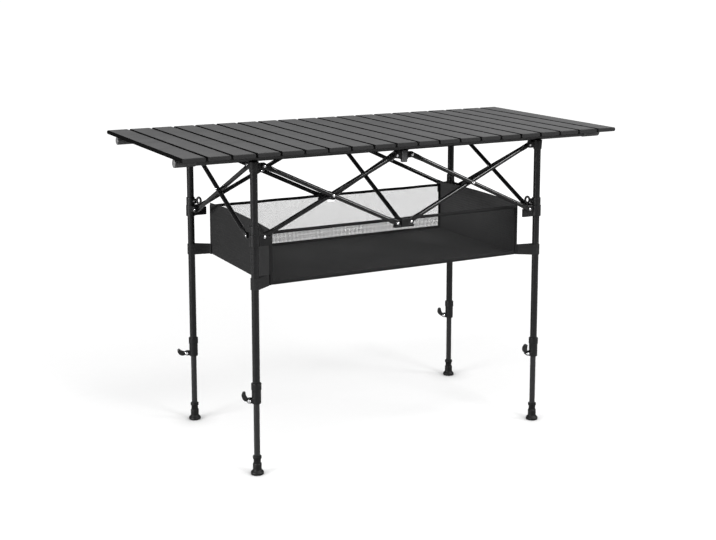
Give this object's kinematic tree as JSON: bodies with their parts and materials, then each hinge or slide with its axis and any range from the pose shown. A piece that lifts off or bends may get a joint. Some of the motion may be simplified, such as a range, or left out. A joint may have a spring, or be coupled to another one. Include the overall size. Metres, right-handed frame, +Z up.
{
  "type": "roll top camp table",
  "caption": "Camp table with a slatted top that rolls up, a folding scissor brace frame, telescopic legs with lever clamps and a cloth and net storage basket.",
  "frame": {"origin": "on the floor under the middle of the table top", "axes": "+X along the top, to the right of a person at the front, +Y from front to rear, +Z up"},
  "size_m": [1.067, 0.5, 0.7],
  "materials": {
    "slat_coat": "satin",
    "rail_coat": "satin",
    "brace_coat": "satin",
    "leg_coat": "satin",
    "inner_leg_coat": "satin",
    "black_nylon": "matte",
    "lever_plastic": "satin",
    "latch_steel": "satin",
    "basket_cloth": "matte"
  },
  "bodies": {
    "frame": {"hub_front_upper": "black_nylon", "basket": "basket_cloth"},
    "top": {"top_rails": "rail_coat", "slat_01": "slat_coat"},
    "brace_fl_low": {"brace_fl_low": "brace_coat"},
    "brace_fl_high": {"brace_fl_high": "brace_coat"},
    "leg_fl": {"leg_fl": "leg_coat"},
    "slider_fl": {"slider_fl": "black_nylon"},
    "brace_fr_low": {"brace_fr_low": "brace_coat"},
    "brace_fr_high": {"brace_fr_high": "brace_coat"},
    "leg_fr": {"leg_fr": "leg_coat"},
    "slider_fr": {"slider_fr": "black_nylon"},
    "hub_front_lower": {"hub_front_lower": "black_nylon"},
    "brace_centre_falling": {"brace_centre_falling": "brace_coat"},
    "brace_centre_rising": {"brace_centre_rising": "brace_coat"},
    "hub_rear_upper": {"hub_rear_upper": "black_nylon"},
    "hub_rear_lower": {"hub_rear_lower": "black_nylon"},
    "brace_rl_low": {"brace_rl_low": "brace_coat"},
    "brace_rl_high": {"brace_rl_high": "brace_coat"},
    "leg_rl": {"leg_rl": "leg_coat"},
    "slider_rl": {"slider_rl": "black_nylon"},
    "brace_rr_low": {"brace_rr_low": "brace_coat"},
    "brace_rr_high": {"brace_rr_high": "brace_coat"},
    "leg_rr": {"leg_rr": "leg_coat"},
    "slider_rr": {"slider_rr": "black_nylon"},
    "brace_left_inner": {"brace_left_inner": "brace_coat"},
    "brace_left_outer": {"brace_left_outer": "brace_coat"},
    "brace_right_outer": {"brace_right_outer": "brace_coat"},
    "brace_right_inner": {"brace_right_inner": "brace_coat"},
    "slat_02": {"slat_02": "slat_coat"},
    "slat_03": {"slat_03": "slat_coat"},
    "slat_04": {"slat_04": "slat_coat"},
    "slat_05": {"slat_05": "slat_coat"},
    "slat_06": {"slat_06": "slat_coat"},
    "slat_07": {"slat_07": "slat_coat"},
    "slat_08": {"slat_08": "slat_coat"},
    "slat_09": {"slat_09": "slat_coat"},
    "slat_10": {"slat_10": "slat_coat"},
    "slat_11": {"slat_11": "slat_coat"},
    "slat_12": {"slat_12": "slat_coat"},
    "slat_13": {"slat_13": "slat_coat"},
    "slat_14": {"slat_14": "slat_coat"},
    "slat_15": {"slat_15": "slat_coat"},
    "slat_16": {"slat_16": "slat_coat"},
    "slat_17": {"slat_17": "slat_coat"},
    "slat_18": {"slat_18": "slat_coat"},
    "slat_19": {"slat_19": "slat_coat"},
    "slat_20": {"slat_20": "slat_coat"},
    "inner_leg_fl": {"inner_leg_fl": "inner_leg_coat"},
    "lever_fl": {"lever_fl": "lever_plastic"},
    "latch_fl": {"latch_fl": "latch_steel"},
    "inner_leg_fr": {"inner_leg_fr": "inner_leg_coat"},
    "lever_fr": {"lever_fr": "lever_plastic"},
    "latch_fr": {"latch_fr": "latch_steel"},
    "inner_leg_rl": {"inner_leg_rl": "inner_leg_coat"},
    "lever_rl": {"lever_rl": "lever_plastic"},
    "latch_rl": {"latch_rl": "latch_steel"},
    "inner_leg_rr": {"inner_leg_rr": "inner_leg_coat"},
    "lever_rr": {"lever_rr": "lever_plastic"},
    "latch_rr": {"latch_rr": "latch_steel"}
  },
  "joints": [
    {"name": "frame_fold", "type": "hinge", "parent": "frame", "child": "brace_fl_low", "pos_m": [-0.018, -0.1885, 0.664], "axis": [0, -1, 0], "range_deg": [0, 54], "deforming": ["basket"]},
    {"name": "brace_fl_high_turn", "type": "hinge", "parent": "brace_fl_low", "child": "brace_fl_high", "pos_m": [-0.17625, -0.1885, 0.589], "axis": [0, 1, 0], "range_deg": [0, 108]},
    {"name": "leg_fl_turn", "type": "hinge", "parent": "brace_fl_high", "child": "leg_fl", "pos_m": [-0.3345, -0.1885, 0.664], "axis": [0, -1, 0], "range_deg": [0, 54]},
    {"name": "slider_fl_turn", "type": "hinge", "parent": "brace_fl_low", "child": "slider_fl", "pos_m": [-0.3345, -0.1885, 0.514], "axis": [0, 1, 0], "range_deg": [0, 54]},
    {"name": "brace_fr_low_turn", "type": "hinge", "parent": "frame", "child": "brace_fr_low", "pos_m": [0.018, -0.1885, 0.664], "axis": [0, 1, 0], "range_deg": [0, 54]},
    {"name": "brace_fr_high_turn", "type": "hinge", "parent": "brace_fr_low", "child": "brace_fr_high", "pos_m": [0.17625, -0.1885, 0.589], "axis": [0, -1, 0], "range_deg": [0, 108]},
    {"name": "leg_fr_turn", "type": "hinge", "parent": "brace_fr_high", "child": "leg_fr", "pos_m": [0.3345, -0.1885, 0.664], "axis": [0, 1, 0], "range_deg": [0, 54]},
    {"name": "slider_fr_turn", "type": "hinge", "parent": "brace_fr_low", "child": "slider_fr", "pos_m": [0.3345, -0.1885, 0.514], "axis": [0, -1, 0], "range_deg": [0, 54]},
    {"name": "hub_front_lower_turn", "type": "hinge", "parent": "brace_fl_high", "child": "hub_front_lower", "pos_m": [-0.018, -0.1885, 0.514], "axis": [0, -1, 0], "range_deg": [0, 54]},
    {"name": "brace_centre_falling_turn", "type": "hinge", "parent": "frame", "child": "brace_centre_falling", "pos_m": [0, -0.15825, 0.664], "axis": [-1, 0, 0], "range_deg": [0, 54]},
    {"name": "brace_centre_rising_turn", "type": "hinge", "parent": "brace_centre_falling", "child": "brace_centre_rising", "pos_m": [0, 0, 0.589], "axis": [1, 0, 0], "range_deg": [0, 108]},
    {"name": "hub_rear_upper_turn", "type": "hinge", "parent": "brace_centre_rising", "child": "hub_rear_upper", "pos_m": [0, 0.15825, 0.664], "axis": [-1, 0, 0], "range_deg": [0, 54]},
    {"name": "hub_rear_lower_turn", "type": "hinge", "parent": "brace_centre_falling", "child": "hub_rear_lower", "pos_m": [0, 0.15825, 0.514], "axis": [1, 0, 0], "range_deg": [0, 54]},
    {"name": "brace_rl_low_turn", "type": "hinge", "parent": "hub_rear_upper", "child": "brace_rl_low", "pos_m": [-0.018, 0.1885, 0.664], "axis": [0, -1, 0], "range_deg": [0, 54]},
    {"name": "brace_rl_high_turn", "type": "hinge", "parent": "brace_rl_low", "child": "brace_rl_high", "pos_m": [-0.17625, 0.1885, 0.589], "axis": [0, 1, 0], "range_deg": [0, 108]},
    {"name": "leg_rl_turn", "type": "hinge", "parent": "brace_rl_high", "child": "leg_rl", "pos_m": [-0.3345, 0.1885, 0.664], "axis": [0, -1, 0], "range_deg": [0, 54]},
    {"name": "slider_rl_turn", "type": "hinge", "parent": "brace_rl_low", "child": "slider_rl", "pos_m": [-0.3345, 0.1885, 0.514], "axis": [0, 1, 0], "range_deg": [0, 54]},
    {"name": "brace_rr_low_turn", "type": "hinge", "parent": "hub_rear_upper", "child": "brace_rr_low", "pos_m": [0.018, 0.1885, 0.664], "axis": [0, 1, 0], "range_deg": [0, 54]},
    {"name": "brace_rr_high_turn", "type": "hinge", "parent": "brace_rr_low", "child": "brace_rr_high", "pos_m": [0.17625, 0.1885, 0.589], "axis": [0, -1, 0], "range_deg": [0, 108]},
    {"name": "leg_rr_turn", "type": "hinge", "parent": "brace_rr_high", "child": "leg_rr", "pos_m": [0.3345, 0.1885, 0.664], "axis": [0, 1, 0], "range_deg": [0, 54]},
    {"name": "slider_rr_turn", "type": "hinge", "parent": "brace_rr_low", "child": "slider_rr", "pos_m": [0.3345, 0.1885, 0.514], "axis": [0, -1, 0], "range_deg": [0, 54]},
    {"name": "brace_left_inner_turn", "type": "hinge", "parent": "leg_fl", "child": "brace_left_inner", "pos_m": [-0.3565, -0.15825, 0.664], "axis": [-1, 0, 0], "range_deg": [0, 54]},
    {"name": "brace_left_outer_turn", "type": "hinge", "parent": "brace_left_inner", "child": "brace_left_outer", "pos_m": [-0.3565, 0, 0.589], "axis": [1, 0, 0], "range_deg": [0, 108]},
    {"name": "brace_right_outer_turn", "type": "hinge", "parent": "leg_fr", "child": "brace_right_outer", "pos_m": [0.3565, -0.15825, 0.664], "axis": [-1, 0, 0], "range_deg": [0, 54]},
    {"name": "brace_right_inner_turn", "type": "hinge", "parent": "brace_right_outer", "child": "brace_right_inner", "pos_m": [0.3565, 0, 0.589], "axis": [1, 0, 0], "range_deg": [0, 108]},
    {"name": "top_lift", "type": "slide", "parent": "frame", "child": "top", "axis": [0, 0, 1], "range_m": [0, 0.25]},
    {"name": "top_roll", "type": "hinge", "parent": "top", "child": "slat_02", "pos_m": [-0.4815, 0, 0.7], "axis": [0, -1, 0], "range_deg": [0, 36]},
    {"name": "slat_03_roll", "type": "hinge", "parent": "slat_02", "child": "slat_03", "pos_m": [-0.428, 0, 0.7], "axis": [0, -1, 0], "range_deg": [0, 36.04]},
    {"name": "slat_04_roll", "type": "hinge", "parent": "slat_03", "child": "slat_04", "pos_m": [-0.3745, 0, 0.7], "axis": [0, -1, 0], "range_deg": [0, 36.2]},
    {"name": "slat_05_roll", "type": "hinge", "parent": "slat_04", "child": "slat_05", "pos_m": [-0.321, 0, 0.7], "axis": [0, -1, 0], "range_deg": [0, 36.55]},
    {"name": "slat_06_roll", "type": "hinge", "parent": "slat_05", "child": "slat_06", "pos_m": [-0.2675, 0, 0.7], "axis": [0, -1, 0], "range_deg": [0, 37.12]},
    {"name": "slat_07_roll", "type": "hinge", "parent": "slat_06", "child": "slat_07", "pos_m": [-0.214, 0, 0.7], "axis": [0, -1, 0], "range_deg": [0, 37.95]},
    {"name": "slat_08_roll", "type": "hinge", "parent": "slat_07", "child": "slat_08", "pos_m": [-0.1605, 0, 0.7], "axis": [0, -1, 0], "range_deg": [0, 39.08]},
    {"name": "slat_09_roll", "type": "hinge", "parent": "slat_08", "child": "slat_09", "pos_m": [-0.107, 0, 0.7], "axis": [0, -1, 0], "range_deg": [0, 40.53]},
    {"name": "slat_10_roll", "type": "hinge", "parent": "slat_09", "child": "slat_10", "pos_m": [-0.0535, 0, 0.7], "axis": [0, -1, 0], "range_deg": [0, 42.32]},
    {"name": "slat_11_roll", "type": "hinge", "parent": "slat_10", "child": "slat_11", "pos_m": [0, 0, 0.7], "axis": [0, -1, 0], "range_deg": [0, 44.49]},
    {"name": "slat_12_roll", "type": "hinge", "parent": "slat_11", "child": "slat_12", "pos_m": [0.0535, 0, 0.7], "axis": [0, -1, 0], "range_deg": [0, 47.04]},
    {"name": "slat_13_roll", "type": "hinge", "parent": "slat_12", "child": "slat_13", "pos_m": [0.107, 0, 0.7], "axis": [0, -1, 0], "range_deg": [0, 50.01]},
    {"name": "slat_14_roll", "type": "hinge", "parent": "slat_13", "child": "slat_14", "pos_m": [0.1605, 0, 0.7], "axis": [0, -1, 0], "range_deg": [0, 53.42]},
    {"name": "slat_15_roll", "type": "hinge", "parent": "slat_14", "child": "slat_15", "pos_m": [0.214, 0, 0.7], "axis": [0, -1, 0], "range_deg": [0, 57.28]},
    {"name": "slat_16_roll", "type": "hinge", "parent": "slat_15", "child": "slat_16", "pos_m": [0.2675, 0, 0.7], "axis": [0, -1, 0], "range_deg": [0, 61.61]},
    {"name": "slat_17_roll", "type": "hinge", "parent": "slat_16", "child": "slat_17", "pos_m": [0.321, 0, 0.7], "axis": [0, -1, 0], "range_deg": [0, 66.43]},
    {"name": "slat_18_roll", "type": "hinge", "parent": "slat_17", "child": "slat_18", "pos_m": [0.3745, 0, 0.7], "axis": [0, -1, 0], "range_deg": [0, 71.76]},
    {"name": "slat_19_roll", "type": "hinge", "parent": "slat_18", "child": "slat_19", "pos_m": [0.428, 0, 0.7], "axis": [0, -1, 0], "range_deg": [0, 77.61]},
    {"name": "slat_20_roll", "type": "hinge", "parent": "slat_19", "child": "slat_20", "pos_m": [0.4815, 0, 0.7], "axis": [0, -1, 0], "range_deg": [0, 84]},
    {"name": "telescope_fl", "type": "slide", "parent": "leg_fl", "child": "inner_leg_fl", "axis": [0, 0, 1], "range_m": [0, 0.11]},
    {"name": "clamp_fl", "type": "hinge", "parent": "leg_fl", "child": "lever_fl", "pos_m": [-0.37244, -0.18423, 0.164], "axis": [-0.2588, -0.9659, 0], "range_deg": [-24, 52]},
    {"name": "pull_fl", "type": "slide", "parent": "slider_fl", "child": "latch_fl", "axis": [0.7071, 0.7071, 0], "range_m": [0, 0.006], "stiffness_N_per_m": 200},
    {"name": "telescope_fr", "type": "slide", "parent": "leg_fr", "child": "inner_leg_fr", "axis": [0, 0, 1], "range_m": [0, 0.11]},
    {"name": "clamp_fr", "type": "hinge", "parent": "leg_fr", "child": "lever_fr", "pos_m": [0.34025, -0.18563, 0.164], "axis": [-0.1736, -0.9848, 0], "range_deg": [-2, 74]},
    {"name": "pull_fr", "type": "slide", "parent": "slider_fr", "child": "latch_fr", "axis": [-0.7071, 0.7071, 0], "range_m": [0, 0.006], "stiffness_N_per_m": 200},
    {"name": "telescope_rl", "type": "slide", "parent": "leg_rl", "child": "inner_leg_rl", "axis": [0, 0, 1], "range_m": [0, 0.11]},
    {"name": "clamp_rl", "type": "hinge", "parent": "leg_rl", "child": "lever_rl", "pos_m": [-0.372, 0.19414, 0.164], "axis": [-0.342, -0.9397, 0], "range_deg": [-64, 12]},
    {"name": "pull_rl", "type": "slide", "parent": "slider_rl", "child": "latch_rl", "axis": [0.7071, -0.7071, 0], "range_m": [0, 0.006], "stiffness_N_per_m": 200},
    {"name": "telescope_rr", "type": "slide", "parent": "leg_rr", "child": "inner_leg_rr", "axis": [0, 0, 1], "range_m": [0, 0.11]},
    {"name": "clamp_rr", "type": "hinge", "parent": "leg_rr", "child": "lever_rr", "pos_m": [0.34056, 0.19277, 0.164], "axis": [-0.2588, -0.9659, 0], "range_deg": [-24, 52]},
    {"name": "pull_rr", "type": "slide", "parent": "slider_rr", "child": "latch_rr", "axis": [-0.7071, -0.7071, 0], "range_m": [0, 0.006], "stiffness_N_per_m": 200}
  ],
  "couplings": [
    {"joint": "brace_fl_high_turn", "follows": "frame_fold", "ratio": 2},
    {"joint": "leg_fl_turn", "follows": "frame_fold", "ratio": 1},
    {"joint": "slider_fl_turn", "follows": "frame_fold", "ratio": 1},
    {"joint": "brace_fr_low_turn", "follows": "frame_fold", "ratio": 1},
    {"joint": "brace_fr_high_turn", "follows": "frame_fold", "ratio": 2},
    {"joint": "leg_fr_turn", "follows": "frame_fold", "ratio": 1},
    {"joint": "slider_fr_turn", "follows": "frame_fold", "ratio": 1},
    {"joint": "hub_front_lower_turn", "follows": "frame_fold", "ratio": 1},
    {"joint": "brace_centre_falling_turn", "follows": "frame_fold", "ratio": 1},
    {"joint": "brace_centre_rising_turn", "follows": "frame_fold", "ratio": 2},
    {"joint": "hub_rear_upper_turn", "follows": "frame_fold", "ratio": 1},
    {"joint": "hub_rear_lower_turn", "follows": "frame_fold", "ratio": 1},
    {"joint": "brace_rl_low_turn", "follows": "frame_fold", "ratio": 1},
    {"joint": "brace_rl_high_turn", "follows": "frame_fold", "ratio": 2},
    {"joint": "leg_rl_turn", "follows": "frame_fold", "ratio": 1},
    {"joint": "slider_rl_turn", "follows": "frame_fold", "ratio": 1},
    {"joint": "brace_rr_low_turn", "follows": "frame_fold", "ratio": 1},
    {"joint": "brace_rr_high_turn", "follows": "frame_fold", "ratio": 2},
    {"joint": "leg_rr_turn", "follows": "frame_fold", "ratio": 1},
    {"joint": "slider_rr_turn", "follows": "frame_fold", "ratio": 1},
    {"joint": "brace_left_inner_turn", "follows": "frame_fold", "ratio": 1},
    {"joint": "brace_left_outer_turn", "follows": "frame_fold", "ratio": 2},
    {"joint": "brace_right_outer_turn", "follows": "frame_fold", "ratio": 1},
    {"joint": "brace_right_inner_turn", "follows": "frame_fold", "ratio": 2},
    {"joint": "slat_03_roll", "follows": "top_roll", "ratio": 1.001},
    {"joint": "slat_04_roll", "follows": "top_roll", "ratio": 1.0055},
    {"joint": "slat_05_roll", "follows": "top_roll", "ratio": 1.0151},
    {"joint": "slat_06_roll", "follows": "top_roll", "ratio": 1.031},
    {"joint": "slat_07_roll", "follows": "top_roll", "ratio": 1.0542},
    {"joint": "slat_08_roll", "follows": "top_roll", "ratio": 1.0855},
    {"joint": "slat_09_roll", "follows": "top_roll", "ratio": 1.1257},
    {"joint": "slat_10_roll", "follows": "top_roll", "ratio": 1.1756},
    {"joint": "slat_11_roll", "follows": "top_roll", "ratio": 1.2357},
    {"joint": "slat_12_roll", "follows": "top_roll", "ratio": 1.3067},
    {"joint": "slat_13_roll", "follows": "top_roll", "ratio": 1.3893},
    {"joint": "slat_14_roll", "follows": "top_roll", "ratio": 1.4838},
    {"joint": "slat_15_roll", "follows": "top_roll", "ratio": 1.591},
    {"joint": "slat_16_roll", "follows": "top_roll", "ratio": 1.7113},
    {"joint": "slat_17_roll", "follows": "top_roll", "ratio": 1.8453},
    {"joint": "slat_18_roll", "follows": "top_roll", "ratio": 1.9932},
    {"joint": "slat_19_roll", "follows": "top_roll", "ratio": 2.1558},
    {"joint": "slat_20_roll", "follows": "top_roll", "ratio": 2.3333}
  ]
}
